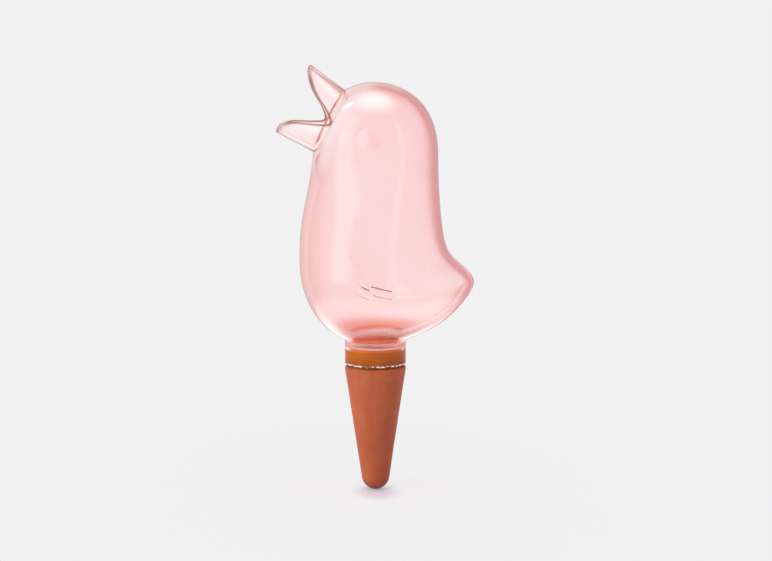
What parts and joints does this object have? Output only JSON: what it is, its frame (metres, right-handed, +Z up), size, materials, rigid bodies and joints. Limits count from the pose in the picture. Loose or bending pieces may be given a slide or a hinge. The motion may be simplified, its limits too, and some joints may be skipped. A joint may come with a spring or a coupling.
{
  "type": "watering globe",
  "caption": "Bird-shaped clear pink glass vessel with an open beak for filling, sealed by a rubber sleeve onto a hollow terracotta spike that lets water seep into the soil.",
  "frame": {"origin": "on the axis of the clay spike, level with its shoulder, where the soil ends", "axes": "+Z up along the spike axis, the bird faces -X, left and right sides mirror in the XZ plane"},
  "size_m": [0.0768, 0.0556, 0.166],
  "materials": {
    "pink_glass": "clear tinted, glossy",
    "pale_glass": "clear tinted, glossy, thin",
    "amber_rubber": "smooth, slightly translucent",
    "terracotta": "unglazed, matt"
  },
  "bodies": {
    "spike": {"terracotta_spike": "terracotta"},
    "seal": {"seal_sleeve": "amber_rubber"},
    "vessel": {"bird_body": "pink_glass", "beak_spout": "pale_glass"}
  },
  "joints": [
    {"name": "bird_turn", "type": "hinge", "parent": "spike", "child": "seal", "pos_m": [0, 0, 0.0036], "axis": [0, 0, 1], "continuous": true},
    {"name": "bird_lift", "type": "slide", "parent": "seal", "child": "vessel", "axis": [0, 0, 1], "range_m": [0, 0.02]}
  ]
}
